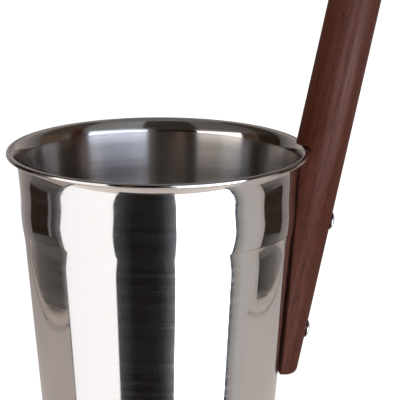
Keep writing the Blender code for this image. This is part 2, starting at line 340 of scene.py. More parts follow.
def spun(name, outline, steps, turn=FULL_TURN):
    """Draws an outline of (radius, height) points, vertex by vertex, and spins it round the Z axis.

    With no window the spin runs clockwise for a positive angle, so the angle is turned round.
    """
    deselect()
    bpy.ops.mesh.primitive_plane_add(size=MM)
    piece = named(name)
    bpy.ops.object.mode_set(mode="EDIT")
    bpy.ops.mesh.select_mode(type="VERT")
    bpy.ops.mesh.select_all(action="SELECT")
    bpy.ops.mesh.merge(type="CENTER")
    bpy.ops.transform.translate(value=(outline[0][0], 0.0, outline[0][1]))
    for here, there in zip(outline, outline[1:]):
        step = (there[0] - here[0], 0.0, there[1] - here[1])
        bpy.ops.mesh.extrude_vertices_move(TRANSFORM_OT_translate={"value": step})
    bpy.ops.mesh.select_all(action="SELECT")
    bpy.ops.mesh.spin(steps=steps, angle=-turn, center=(0.0, 0.0, 0.0), axis=(0.0, 0.0, 1.0))
    bpy.ops.mesh.select_all(action="SELECT")
    bpy.ops.mesh.remove_doubles(threshold=MERGE_DISTANCE)
    bpy.ops.mesh.normals_make_consistent(inside=False)
    bpy.ops.object.mode_set(mode="OBJECT")
    return piece


def box_tool(name, low, high):
    """A plain box between two corners."""
    deselect()
    bpy.ops.mesh.primitive_cube_add(size=1.0)
    tool = named(name)
    tool.scale = Vector(high) - Vector(low)
    tool.location = (Vector(high) + Vector(low)) / 2
    bpy.ops.object.transform_apply()
    return tool


def bar_tool(name, sides, radius, low, high):
    """A straight bar along the Z axis."""
    deselect()
    bpy.ops.mesh.primitive_cylinder_add(vertices=sides, radius=radius, depth=high - low)
    tool = named(name)
    tool.location.z = (low + high) / 2
    bpy.ops.object.transform_apply()
    return tool


def place(piece, location, tilt):
    """Tilts a piece about the Y axis, moves it, and puts both into its mesh."""
    activate(piece)
    piece.location = location
    piece.rotation_euler = (0.0, tilt, 0.0)
    bpy.ops.object.transform_apply()
    return piece


def apply_modifier(piece, modifier):
    activate(piece)
    bpy.ops.object.modifier_apply(modifier=modifier.name)


def carve(piece, tool, operation="DIFFERENCE"):
    """Cuts a piece with a tool, and clears the tool away."""
    change = piece.modifiers.new("carve", "BOOLEAN")
    change.operation = operation
    change.solver = "EXACT"
    change.object = tool
    apply_modifier(piece, change)
    mesh = tool.data
    bpy.data.objects.remove(tool)
    bpy.data.meshes.remove(mesh)


def ease_edges(piece, width, segments=2):
    """Rounds the sharp edges of a piece."""
    edge = piece.modifiers.new("ease", "BEVEL")
    edge.width = width
    edge.segments = segments
    edge.limit_method = "ANGLE"
    edge.angle_limit = SHARP
    edge.use_clamp_overlap = True
    apply_modifier(piece, edge)


def fit_to_frame(piece, node, slot, *materials, sharper_than=SHARP):
    """Finishes a shaped piece, and puts it on the pail's body in place of its CAD node."""
    for material in materials:
        piece.data.materials.append(material)
    activate(piece)
    bpy.ops.object.shade_smooth_by_angle(angle=sharper_than)
    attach(piece, "root")
    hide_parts(node)


def handle_place(scene):
    """Where the handle's axis passes the height of the curl's middle."""
    return Vector((scene.handle_sizes.axis_radius, 0.0, scene.pail_sizes.curl_height))


def screw_crest(scene, drop):
    """Where a screw's axis leaves the outer side of the handle."""
    handle = scene.handle_sizes
    along = Vector((math.sin(handle.lean), 0.0, math.cos(handle.lean)))
    outward = Vector((math.cos(handle.lean), 0.0, -math.sin(handle.lean)))
    return handle_place(scene) - along * drop + outward * handle.diameter / 2


def place_on_screw(piece, scene, drop):
    """Turns a piece made along Z onto a screw's axis, with its zero on the wood's surface."""
    return place(piece, screw_crest(scene, drop), QUARTER_TURN + scene.handle_sizes.lean)


def depth_to_inside(scene, drop, passes=8):
    """How far in from the wood's surface a screw reaches the pail's inner face."""
    handle = scene.handle_sizes
    pail = scene.pail_sizes
    crest = screw_crest(scene, drop)
    depth = handle.diameter / 2
    for _ in range(passes):
        height = crest.z + depth * math.sin(handle.lean)
        depth = (crest.x - wall_radius(pail, height) + pail.sheet) / math.cos(handle.lean)
    return depth


def fastening_rows(sizes):
    """Name, drop and shank length of the two fastenings."""
    return (
        ("upper", sizes.upper_drop, sizes.upper_length),
        ("lower", sizes.lower_drop, sizes.lower_length),
    )


def drill(piece, scene):
    """Drills both screw holes through a piece."""
    sizes = scene.fastening_sizes
    for _, drop, _ in fastening_rows(sizes):
        depth = depth_to_inside(scene, drop) + CLEAR
        tool = bar_tool("drill", sizes.steps // 2, sizes.hole_radius, -depth, CLEAR)
        carve(piece, place_on_screw(tool, scene, drop))


class Nodes:
    """Short hand for building a node tree."""

    # A Mix node's two colours and its result, which can't be told by name from its plain numbers.
    FIRST_COLOUR = 6
    SECOND_COLOUR = 7
    MIXED_COLOUR = 2

    def __init__(self, tree):
        self.tree = tree

    def add(self, kind, inputs=None, **settings):
        """Adds a node, sets the properties that are named, and feeds its inputs."""
        node = self.tree.nodes.new(kind)
        for name, value in settings.items():
            setattr(node, name, value)
        self.feed(node, inputs or {})
        return node

    def feed(self, node, inputs):
        """Links each input, by its name or number, to a socket, or sets a plain value on it."""
        for key, value in inputs.items():
            socket = node.inputs[key]
            if isinstance(value, bpy.types.NodeSocket):
                self.tree.links.new(value, socket)
            elif socket.type == "RGBA":
                socket.default_value = (*value, 1.0)
            else:
                socket.default_value = value

    def coordinates(self):
        """The object's own coordinates."""
        return self.add("ShaderNodeTexCoord").outputs["Object"]

    def parts(self, vector):
        """The outputs X, Y and Z of a vector."""
        return self.add("ShaderNodeSeparateXYZ", {"Vector": vector}).outputs

    def vector(self, x, y, z):
        return self.add("ShaderNodeCombineXYZ", {"X": x, "Y": y, "Z": z}).outputs["Vector"]

    def math(self, operation, *values):
        return self.add("ShaderNodeMath", dict(enumerate(values)), operation=operation).outputs["Value"]

    def product(self, first, *factors):
        for factor in factors:
            first = self.math("MULTIPLY", first, factor)
        return first

    def vector_math(self, operation, *values, result="Vector"):
        node = self.add("ShaderNodeVectorMath", dict(enumerate(values)), operation=operation)
        return node.outputs[result]

    def noise(self, vector, scale, detail, roughness, distortion=0.0):
        numbers = {"Scale": scale, "Detail": detail, "Roughness": roughness, "Distortion": distortion}
        return self.add("ShaderNodeTexNoise", {"Vector": vector, **numbers}).outputs["Fac"]

    def remap(self, value, low, high, new_low=0.0, new_high=1.0):
        """Carries the range from low to high over to a new one, and stops at its ends."""
        numbers = {"From Min": low, "From Max": high, "To Min": new_low, "To Max": new_high}
        return self.add("ShaderNodeMapRange", {"Value": value, **numbers}).outputs["Result"]

    def blend(self, factor, first, second):
        """A mix of two colours; each is a socket or three numbers."""
        inputs = {"Factor": factor, self.FIRST_COLOUR: first, self.SECOND_COLOUR: second}
        return self.add("ShaderNodeMix", inputs, data_type="RGBA").outputs[self.MIXED_COLOUR]

    def bump(self, height, distance):
        return self.add("ShaderNodeBump", {"Height": height, "Distance": distance}).outputs["Normal"]


POLISH_GROUP = "polishing_lines"
MOST_NOISE = (0.3, 0.7)  # the range that most of a noise lies in
ACROSS_LINES = 0.25  # the turn that stretches the steel's gloss across its polishing lines
PITH = (24 * MM, 55 * MM, 0.0)  # from the tree's pith to the handle's axis
RING_WIDTH = 3.2 * MM
RING_WOBBLE = 6.0 * MM


def new_material(name):
    """A material with a Principled shader, and the object's own coordinates."""
    material = bpy.data.materials.new(name)
    material.use_nodes = True
    nodes = Nodes(material.node_tree)
    return material, nodes, material.node_tree.nodes["Principled BSDF"], nodes.coordinates()


def polish_group():
    """Fine lines left round an axis by polishing, and the soft clouds of a handled surface."""
    if POLISH_GROUP in bpy.data.node_groups:
        return bpy.data.node_groups[POLISH_GROUP]
    group = bpy.data.node_groups.new(POLISH_GROUP, "ShaderNodeTree")
    for name, side, kind in (
        ("Vector", "INPUT", "NodeSocketVector"),
        ("Around", "INPUT", "NodeSocketFloat"),
        ("Across", "INPUT", "NodeSocketFloat"),
        ("Lines", "OUTPUT", "NodeSocketFloat"),
        ("Clouds", "OUTPUT", "NodeSocketFloat"),
    ):
        group.interface.new_socket(name, in_out=side, socket_type=kind)
    nodes = Nodes(group)
    given = nodes.add("NodeGroupInput").outputs
    rate = nodes.vector(given["Around"], given["Around"], given["Across"])
    drawn_out = nodes.vector_math("MULTIPLY", given["Vector"], rate)
    lines = nodes.noise(drawn_out, scale=1.0, detail=3.0, roughness=0.65)
    clouds = nodes.noise(given["Vector"], scale=22.0, detail=3.0, roughness=0.55)
    nodes.add("NodeGroupOutput", {"Lines": lines, "Clouds": clouds})
    return group


def polish(nodes, vector, around, across):
    """Places the polishing lines in a material and gives back its lines and clouds."""
    inputs = {"Vector": vector, "Around": around, "Across": across}
    placed = nodes.add("ShaderNodeGroup", inputs, node_tree=polish_group()).outputs
    return placed["Lines"], placed["Clouds"]


def round_the_axis(nodes, coordinates):
    """The direction round the Z axis at each point, along which the steel was polished."""
    parts = nodes.parts(coordinates)
    tangent = nodes.vector(nodes.product(parts["Y"], -1.0), parts["X"], 0.0)
    return nodes.vector_math("NORMALIZE", tangent)


def mirror_steel(scene, name, roughness, streaks):
    """Steel polished to a mirror, with faint lines round the axis and painted shade in the crease near the
    handle.
    """
    pail = scene.pail_sizes
    material, nodes, shader, coordinates = new_material(name)
    lines, clouds = polish(nodes, coordinates, around=7.0, across=700.0)
    cloudy = nodes.remap(clouds, *MOST_NOISE, roughness * 0.75, roughness * 1.15)
    streaky = nodes.remap(lines, 0.35, 0.75, 0.75, streaks)
    parts = nodes.parts(coordinates)
    # Painted shade: near the handle the base colour is darkened towards black along the crease.
    from_crease = nodes.math("ABSOLUTE", nodes.math("SUBTRACT", parts["Z"], pail.crease_height))
    in_crease = nodes.remap(from_crease, pail.crease_width / 4, pail.crease_width, 0.6, 0.0)
    by_handle = nodes.remap(parts["X"], 35 * MM, 75 * MM)
    painted_crease_shade = nodes.product(in_crease, by_handle)
    nodes.feed(shader, {
        "Base Color": nodes.blend(painted_crease_shade, scene.pail_finish.steel, BLACK),
        "Metallic": 1.0,
        "Roughness": nodes.product(cloudy, streaky),
        "Anisotropic": 0.6,
        "Anisotropic Rotation": ACROSS_LINES,
        "Tangent": round_the_axis(nodes, coordinates),
        "Coat Weight": nodes.remap(lines, 0.42, 0.75),
        "Coat Roughness": 0.35,
        "Normal": nodes.bump(lines, distance=0.0035 * MM),
    })
    return material


def brushed_steel(finish):
    """The inside: brushed round the axis, so that reflections smear up and down the wall."""
    material, nodes, shader, coordinates = new_material("brushed_steel_inside")
    lines, clouds = polish(nodes, coordinates, around=2.0, across=350.0)
    roughness = finish.steel_inside_roughness
    tone = nodes.remap(lines, *MOST_NOISE, 0.88, 1.0)
    nodes.feed(shader, {
        "Base Color": nodes.blend(tone, BLACK, finish.steel_inside),
        "Metallic": 1.0,
        "Roughness": nodes.remap(clouds, *MOST_NOISE, roughness * 0.92, roughness * 1.08),
        "Anisotropic": 1.0,
        "Anisotropic Rotation": ACROSS_LINES,
        "Tangent": round_the_axis(nodes, coordinates),
    })
    return material


def stained_wood(scene):
    """Wood grained along the handle, under a dark red-brown stain and a satin varnish."""
    finish = scene.pail_finish
    lean = scene.handle_sizes.lean
    material, nodes, shader, coordinates = new_material("stained_wood")
    along_handle = {
        "Vector": coordinates,
        "Rotation": (0.0, -lean, 0.0),
        "Location": Matrix.Rotation(-lean, 3, "Y") @ -handle_place(scene),
    }
    grain = nodes.add("ShaderNodeMapping", along_handle).outputs["Vector"]
    parts = nodes.parts(grain)

    def drawn_out(along):
        """The grain's coordinates, packed along the handle so that what they carry is drawn out."""
        return nodes.vector_math("MULTIPLY", grain, (1.0, 1.0, along))

    figure = nodes.noise(drawn_out(0.06), scale=95.0, detail=5.0, roughness=0.62, distortion=0.4)
    fibres = nodes.noise(drawn_out(0.025), scale=1000.0, detail=3.0, roughness=0.6)
    dashes = nodes.noise(drawn_out(0.07), scale=1500.0, detail=1.0, roughness=0.5)
    flecks = nodes.noise(drawn_out(0.16), scale=420.0, detail=2.0, roughness=0.6)
    varnish = nodes.noise(drawn_out(0.04), scale=330.0, detail=4.0, roughness=0.65)

    off_pith = nodes.vector_math("ADD", drawn_out(0.03), PITH)
    from_pith = nodes.vector_math("LENGTH", off_pith, result="Value")
    wobbling = nodes.math("ADD", from_pith, nodes.product(figure, RING_WOBBLE))
    rings = nodes.remap(nodes.math("SINE", nodes.product(wobbling, FULL_TURN / RING_WIDTH)), -1.0, 1.0)
    late = nodes.product(rings, nodes.remap(figure, 0.35, 0.7, 0.25, 0.75))
    pores = nodes.remap(dashes, 0.60, 0.70)

    stain = finish.wood_middle
    for cover, tone in (
        (nodes.remap(figure, 0.34, 0.66, 0.1, 0.6), finish.wood_light),
        (nodes.remap(parts["Z"], -30 * MM, 40 * MM, 0.0, 0.6), finish.wood_light),
        (nodes.product(late, 0.45), finish.wood_dark),
        (nodes.remap(fibres, 0.35, 0.65, 0.0, 0.5), finish.wood_dark),
        (nodes.remap(flecks, 0.50, 0.66, 0.0, 0.7), finish.wood_light),
        (nodes.product(pores, 0.75), finish.wood_pore),
    ):
        stain = nodes.blend(cover, stain, tone)

    gloss = nodes.remap(varnish, 0.34, 0.66, 0.28, 0.76)
    coats = nodes.remap(parts["Z"], -40 * MM, 50 * MM, 0.7, 1.3)
    worn_by_pail = nodes.remap(parts["X"], -14 * MM, -MM, 0.25, 1.0)
    worn_outside = nodes.remap(parts["X"], 3 * MM, 10 * MM, 1.0, 0.7)
    roughness = finish.wood_roughness
    relief = nodes.math("SUBTRACT", nodes.product(fibres, 0.5), nodes.product(pores, 0.6))
    nodes.feed(shader, {
        "Base Color": stain,
        "Specular IOR Level": nodes.product(gloss, coats, worn_by_pail, worn_outside),
        "Roughness": nodes.remap(figure, *MOST_NOISE, roughness * 0.9, roughness * 1.12),
        "Normal": nodes.bump(relief, distance=0.03 * MM),
    })
    return material


def fastener_steel(finish, name, roughness):
    """Bright stainless steel of small turned parts."""
    material, nodes, shader, coordinates = new_material(name)
    lines, clouds = polish(nodes, coordinates, around=900.0, across=900.0)
    tone = nodes.remap(clouds, *MOST_NOISE, 0.92, 1.0)
    nodes.feed(shader, {
        "Base Color": nodes.blend(tone, BLACK, finish.fastener_steel),
        "Metallic": 1.0,
        "Roughness": nodes.remap(lines, *MOST_NOISE, roughness * 0.8, roughness * 1.2),
        "Normal": nodes.bump(lines, distance=0.004 * MM),
    })
    return material


def seal_rubber(finish):
    """Matt black rubber with a fine moulded grain."""
    material, nodes, shader, coordinates = new_material("seal_rubber")
    grain = nodes.noise(coordinates, scale=2500.0, detail=2.0, roughness=0.5)
    dusty = tuple(channel * 1.8 for channel in finish.rubber)
    nodes.feed(shader, {
        "Base Color": nodes.blend(grain, finish.rubber, dusty),
        "Roughness": nodes.remap(grain, *MOST_NOISE, 0.6, 0.75),
        "Normal": nodes.bump(grain, distance=0.02 * MM),
    })
    return material


# Limits of a normal that looks into the pail: its least rise, and its reach outwards for each unit of it.
LEAST_RISE = -0.2
MOST_OUTWARD = 0.5
DOWNWARD = -0.5
END_SEGMENTS = 8
RECESS_FLOOR = (0.55, 0.8, 1.0)  # size of the cross recess at its floor, against its top
SEAL_EDGE = 0.12 * MM
WASHER_EDGE = 0.15 * MM
NUT_SHARP = math.radians(25)


class PAIL_OT_make_vessel(Operator):
    """Spin the drawn steel vessel with its rolled edge"""

    bl_idname = "bath_pail.make_vessel"
    bl_label = "Make vessel"

    def execute(self, context):
        scene = context.scene
        sizes = scene.pail_sizes
        finish = scene.pail_finish
        piece = spun("steel_vessel", pail_outline(sizes), sizes.steps)
        drill(piece, scene)
        outside = mirror_steel(scene, "mirror_steel", finish.steel_outside_roughness, streaks=2.4)
        lip = mirror_steel(scene, "polished_lip_steel", finish.steel_lip_roughness, streaks=1.3)
        inside = brushed_steel(finish)
        fit_to_frame(piece, "pail", "polished_steel", outside, lip, inside)
        self.assign_inside(piece, lip, sizes.height, sizes.height - 2 * sizes.curl_radius)
        self.assign_inside(piece, inside, sizes.polish_foot, sizes.height)
        return {"FINISHED"}

    def assign_inside(self, piece, material, head, edge):
        """Gives a material to the faces under a head that look into the pail, and to all over an edge."""

        def is_chosen(face):
            middle = face.calc_center_median()
            outward = face.normal.xy.dot(middle.xy.normalized())
            looks_in = face.normal.z > LEAST_RISE and outward < MOST_OUTWARD * face.normal.z
            return middle.z > edge or looks_in and middle.z < head

        select_where(piece, "FACE", is_chosen)
        piece.active_material_index = piece.data.materials.find(material.name)
        bpy.ops.object.material_slot_assign()
        bpy.ops.object.mode_set(mode="OBJECT")


class PAIL_OT_make_handle(Operator):
    """Shape the wooden handle: round ends, a flat seat along the wall and a groove for the rim"""

    bl_idname = "bath_pail.make_handle"
    bl_label = "Make handle"

    def execute(self, context):
        scene = context.scene
        sizes = scene.handle_sizes
        piece = self.round_bar(sizes)
        place(piece, handle_place(scene), sizes.lean)
        carve(piece, self.seat_tool(sizes, scene.pail_sizes))
        carve(piece, self.groove_tool(sizes, scene.pail_sizes))
        ease_edges(piece, sizes.eased_edge)
        drill(piece, scene)
        fit_to_frame(piece, "handle", "stained_wood", stained_wood(scene))
        return {"FINISHED"}

    def round_bar(self, sizes):
        """The full bar along Z, with zero where it passes the rim."""

        def is_level(edge):
            return abs(edge.verts[0].co.z - edge.verts[1].co.z) < MERGE_DISTANCE

        radius = sizes.diameter / 2
        bar = bar_tool("wooden_handle", sizes.steps, radius, -sizes.below_rim, sizes.above_rim)
        select_where(bar, "EDGE", is_level)
        bpy.ops.mesh.bevel(offset=sizes.end_round, segments=END_SEGMENTS, profile=0.5, affect="EDGES")
        bpy.ops.object.mode_set(mode="OBJECT")
        return bar

    def seat_tool(self, sizes, pail):
        """Everything on the pail's side of a plane that lies along the wall, up to the rim."""
        clear = 2 * sizes.diameter
        tool = box_tool("seat", (-clear, -clear, -pail.height), (0.0, clear, 0.0))
        foot = pail.foot_radius + band_rise(pail) + sizes.seat_gap
        head = (foot + pail.taper * pail.curl_height, 0.0, pail.curl_height)
        return place(tool, head, math.atan(pail.taper))

    def groove_tool(self, sizes, pail):
        """Room round the rolled edge, with a bevel under it where the wall flares out."""
        radius = pail.curl_radius + sizes.groove_clearance
        top = pail.curl_height + radius
        round_curl = curl_arc(pail, radius, QUARTER_TURN, -QUARTER_TURN, CURL_STEPS)
        rows = (pail.curl_height - radius, pail.curl_height - radius - sizes.groove_bevel)
        bevel = [(flare_radius(pail, row) + sizes.groove_clearance, row) for row in rows]
        return spun("groove", [(0.0, top), *round_curl, *bevel, (0.0, rows[1])], pail.steps)


class PAIL_OT_make_screws(Operator):
    """Spin the two screws and sink the cross recess into their domed heads"""

    bl_idname = "bath_pail.make_screws"
    bl_label = "Make screws"

    def execute(self, context):
        scene = context.scene
        sizes = scene.fastening_sizes
        gap = scene.handle_sizes.seat_gap
        steel = fastener_steel(scene.pail_finish, "screw_steel", roughness=0.16)
        for name, drop, shank in fastening_rows(sizes):
            piece = spun(f"{name}_domed_screw", self.outline(sizes, gap, shank), sizes.steps)
            for turn in (0.0, QUARTER_TURN):
                carve(piece, self.recess_tool(sizes, gap, turn))
            place_on_screw(piece, scene, drop)
            fit_to_frame(piece, f"{name}_screw", "fastener_steel", steel)
        return {"FINISHED"}

    def outline(self, sizes, under, shank_length):
        """Dome, straight edge, flat underside, shank and chamfered tip."""
        tip = under - shank_length
        ball = (sizes.head_radius**2 + sizes.head_dome**2) / (2 * sizes.head_dome)
        centre = under + sizes.head_edge + sizes.head_dome - ball
        turns = spread(0.0, math.asin(sizes.head_radius / ball), HEAD_DOME_STEPS)
        dome = [(ball * math.sin(turn), centre + ball * math.cos(turn)) for turn in turns]
        shank = [(sizes.shank_radius, under), (sizes.shank_radius, tip + sizes.tip_chamfer)]
        end = [(sizes.shank_radius - sizes.tip_chamfer, tip), (0.0, tip)]
        return [*dome, (sizes.head_radius, under), *shank, *end]

    def recess_tool(self, sizes, under, turn):
        """One arm of the cross, narrower at its floor."""
        top = under + sizes.head_edge + sizes.head_dome
        low = (-sizes.drive_length / 2, -sizes.drive_width / 2, top - sizes.drive_depth)
        high = (sizes.drive_length / 2, sizes.drive_width / 2, top + sizes.drive_depth)
        tool = box_tool("recess", low, high)
        select_where(tool, "FACE", lambda face: face.normal.z < DOWNWARD)
        bpy.ops.transform.resize(value=RECESS_FLOOR, center_override=(0.0, 0.0, 0.0))
        bpy.ops.object.mode_set(mode="OBJECT")
        tool.rotation_euler.z = turn
        bpy.ops.object.transform_apply()
        return tool


class PAIL_OT_make_seals(Operator):
    """Spin the rubber seals and trim them to the curve of the wall"""

    bl_idname = "bath_pail.make_seals"
    bl_label = "Make seals"

    def execute(self, context):
        scene = context.scene
        sizes = scene.fastening_sizes
        gap = scene.handle_sizes.seat_gap
        rubber = seal_rubber(scene.pail_finish)
        for name, drop, _ in fastening_rows(sizes):
            inside = -depth_to_inside(scene, drop)
            ring = ring_outline(sizes, inside - gap - sizes.seal_thickness, inside + CLEAR)
            piece = spun(f"{name}_rubber_seal", ring, sizes.steps)
            place_on_screw(piece, scene, drop)
            carve(piece, self.space_inside(scene.pail_sizes, gap), "INTERSECT")
            ease_edges(piece, SEAL_EDGE)
            fit_to_frame(piece, f"{name}_seal", "seal_rubber", rubber)
        return {"FINISHED"}

    def space_inside(self, pail, gap):
        """The room inside the wall, one gap clear of it."""
        wall = wall_outline(pail, pail.sheet + gap)
        outline = [(0.0, wall[-1][1]), *wall[::-1], (0.0, wall[0][1])]
        return spun("space", outline, pail.steps)


class PAIL_OT_make_washers(Operator):
    """Spin the steel washers and round their edges"""

    bl_idname = "bath_pail.make_washers"
    bl_label = "Make washers"

    def execute(self, context):
        scene = context.scene
        sizes = scene.fastening_sizes
        stack = sizes.seal_thickness + 2 * scene.handle_sizes.seat_gap
        steel = fastener_steel(scene.pail_finish, "washer_steel", roughness=0.28)
        for name, drop, _ in fastening_rows(sizes):
            top = -depth_to_inside(scene, drop) - stack
            ring = ring_outline(sizes, top - sizes.washer_thickness, top)
            piece = spun(f"{name}_steel_washer", ring, sizes.steps)
            ease_edges(piece, WASHER_EDGE)
            place_on_screw(piece, scene, drop)
            fit_to_frame(piece, f"{name}_washer", "fastener_steel", steel)
        return {"FINISHED"}


class PAIL_OT_make_cap_nuts(Operator):
    """Spin the cap nuts and trim them to their hexagons"""

    bl_idname = "bath_pail.make_cap_nuts"
    bl_label = "Make cap nuts"

    def execute(self, context):
        scene = context.scene
        sizes = scene.fastening_sizes
        stack = sizes.seal_thickness + sizes.washer_thickness + 3 * scene.handle_sizes.seat_gap
        corner = sizes.nut_across_flats / math.sqrt(3)
        reach = 2 * sizes.nut_height
        steel = fastener_steel(scene.pail_finish, "cap_nut_steel", roughness=0.14)
        for name, drop, _ in fastening_rows(sizes):
            seat = -depth_to_inside(scene, drop) - stack
            piece = spun(f"{name}_domed_nut", self.outline(sizes, seat, corner), sizes.steps)
            carve(piece, bar_tool("hexagon", 6, corner, seat - reach, seat + reach), "INTERSECT")
            place_on_screw(piece, scene, drop)
            fit_to_frame(piece, f"{name}_cap_nut", "fastener_steel", steel, sharper_than=NUT_SHARP)
        return {"FINISHED"}

    def outline(self, sizes, seat, corner):
        """Blind hole, seat face, hexagon's envelope and domed end."""
        envelope = corner + sizes.nut_edge
        crown = seat - sizes.nut_height
        bore_end = seat - sizes.nut_bore_depth
        hole = [
            (0.0, bore_end - sizes.hole_radius / 3),
            (sizes.hole_radius, bore_end),
            (sizes.hole_radius, seat),
        ]
        hexagon = [
            (sizes.nut_across_flats / 2, seat),
            (envelope, seat - 2 * sizes.nut_edge),
            (envelope, seat - sizes.nut_hex_height + 2 * sizes.nut_edge),
            (sizes.nut_dome_radius, seat - sizes.nut_hex_height),
        ]
        foot = (sizes.nut_dome_radius, crown + sizes.nut_dome_radius)
        dome = quarter_curve(foot, (sizes.nut_dome_radius, crown), (0.0, crown), NUT_DOME_STEPS)
        return hole + hexagon + dome


# The studio round the pail, seen only in reflections: tints, heights in metres and lights.
WARM = (1.0, 0.90, 0.86)
BROWN = (1.0, 0.64, 0.45)
TAN = (1.0, 0.80, 0.66)
PAPER = (1.0, 0.945, 0.92)
COOL = (0.95, 0.98, 1.06)
SKY = (0.89, 0.99, 1.26)
MAUVE = (1.0, 0.89, 0.94)
BLUSH = (1.0, 0.996, 1.022)
RING_RADIUS = 0.65
LOWEST = -0.47
SOFTBOX_FOOT = -0.36
SKIRTING = -0.12
SIDE_FLOOR = -0.05
RIM_LINE = 0.2
BACKDROP_HEAD = 0.22
DOOR_HEAD = 0.27
SOFTBOX_WAIST = 0.33
LEFT_HEAD = 0.485
SOFTBOX_HEAD = 0.51
HIGHEST = 1.55
LEFT_SOFTBOX = 1.56
RIGHT_SOFTBOX = 5.0
TOP_SOFTBOX = 2.4

# The panels between each foot and head. A panel has its first and last bearing, in degrees from the
# camera and positive towards the handle, a tint and its light. Where the light changes along the panel,
# the light at the last bearing follows, and then how it bends between them.
STUDIO_PANELS = {
    (LOWEST, SKIRTING): (
        ("side_floor_left", -126.4, -88.0, WARM, 0.19, 0.11, 0.5),
        ("side_floor_right", 95.1, 121.3, WARM, 0.13, 0.22),
    ),
    (SKIRTING, SIDE_FLOOR): (
        ("skirting_left", -126.4, -88.0, WARM, 0.19, 0.07, 0.5),
        ("skirting_right", 95.1, 121.3, WARM, 0.05, 0.20),
    ),
    (LOWEST, RIM_LINE): (
        ("softbox_side_left", -88.0, -83.3, WHITE, 0.15, 0.24),
        ("flag_edge_left", -34.9, -20.4, WHITE, 0.14, 0.013, 0.4),
        ("flag", -20.4, -2.8, WARM, 0.0125, 0.014),
        ("flag_edge_right", -2.8, 15.1, COOL, 0.014, 0.23, 2.7),
        ("softbox_side_right", 64.0, 66.6, SKY, 0.10, 0.14),
        ("wall_right_near", 66.6, 76.0, PAPER, 0.25, 0.60, 0.7),
        ("wall_right", 76.0, 91.3, PAPER, 0.60),
        ("wall_right_end", 91.3, 95.1, WARM, 0.50, 0.58),
    ),
    (SOFTBOX_FOOT, RIM_LINE): (
        ("softbox_left", -83.3, -34.9, BLUSH, 0.93 * LEFT_SOFTBOX, LEFT_SOFTBOX, 0.5),
        ("softbox_right", 15.1, 64.0, COOL, RIGHT_SOFTBOX),
    ),
    (SIDE_FLOOR, RIM_LINE): (
        ("stand_edge", -98.6, -95.0, MAUVE, 0.21),
        ("stand", -95.0, -90.0, MAUVE, 0.07),
        ("stand_side", -90.0, -88.0, MAUVE, 0.12, 0.15),
    ),
    (SIDE_FLOOR, DOOR_HEAD): (("doorway_right", 95.1, 121.3, BROWN, 0.034, 0.038),),
    (SIDE_FLOOR, SOFTBOX_HEAD): (("doorway_left", -126.4, -98.6, BROWN, 0.028, 0.026),),
    (LOWEST, BACKDROP_HEAD): (
        ("backdrop_far_left", -180.0, -155.9, WHITE, 0.75, 0.45),
        ("backdrop_left", -155.9, -126.4, WARM, 0.42, 0.22),
        ("backdrop_right", 121.3, 142.1, WARM, 0.25, 0.40),
        ("backdrop_far_right", 142.1, 180.0, WHITE, 0.42, 0.75),
    ),
    (BACKDROP_HEAD, HIGHEST): (
        ("backdrop_above_far_left", -180.0, -165.0, WARM, 0.22, 0.36),
        ("backdrop_above_left", -165.0, -126.4, WARM, 0.46, 0.10),
        ("backdrop_above_right", 121.3, 165.0, WARM, 0.12, 0.46),
        ("backdrop_above_far_right", 165.0, 180.0, WARM, 0.36, 0.22),
    ),
    (RIM_LINE, DOOR_HEAD): (
        ("room_left", -98.6, -79.0, BROWN, 0.02),
        ("room_right", 65.0, 95.1, BROWN, 0.02),
    ),
    (RIM_LINE, SOFTBOX_WAIST): (
        ("upper_softbox_far_left", -79.0, -58.0, PAPER, 1.75),
        ("upper_softbox_left", -58.0, -35.2, PAPER, 1.2, 1.15),
        ("room_front_left", -35.2, -24.0, BROWN, 0.01),
        ("room_front", -24.0, -15.0, BROWN, 0.42),
        ("room_front_dark", -15.0, 2.7, BROWN, 0.01),
        ("upper_softbox_near_right", 10.2, 24.0, SKY, 2.6, 2.5),
        ("upper_softbox_right", 24.0, 53.0, SKY, 2.1, 1.65),
        ("upper_softbox_far_right", 53.0, 65.0, SKY, 2.0),
    ),
    (RIM_LINE, SOFTBOX_HEAD): (("room_front_right", 2.7, 10.2, TAN, 0.17),),
    (DOOR_HEAD, LEFT_HEAD): (("over_room_left", -98.6, -79.0, BROWN, 0.08),),
    (DOOR_HEAD, SOFTBOX_HEAD): (
        ("room_right_dark", 65.0, 79.0, BROWN, 0.02),
        ("over_room_right", 79.0, 95.1, TAN, 0.16, 0.11),
        ("over_doorway_right", 95.1, 121.3, BROWN, 0.11, 0.13),
    ),
    (SOFTBOX_WAIST, LEFT_HEAD): (("top_softbox_left", -79.0, -35.2, PAPER, TOP_SOFTBOX),),
    (SOFTBOX_WAIST, SOFTBOX_HEAD): (
        ("over_room_front", -35.2, 2.7, BROWN, 0.015),
        ("top_softbox_right", 10.2, 65.0, SKY, TOP_SOFTBOX),
    ),
    (LEFT_HEAD, HIGHEST): (("above_left", -98.6, -35.2, WARM, 0.09, 0.15, 0.6),),
    (SOFTBOX_HEAD, HIGHEST): (
        ("above_far_left", -126.4, -98.6, TAN, 0.035, 0.06),
        ("above_front", -35.2, 15.1, TAN, 0.04, 0.05),
        ("above_right", 15.1, 75.0, WHITE, 0.32, 0.20),
        ("above_far_right", 75.0, 121.3, TAN, 0.085, 0.065),
    ),
}

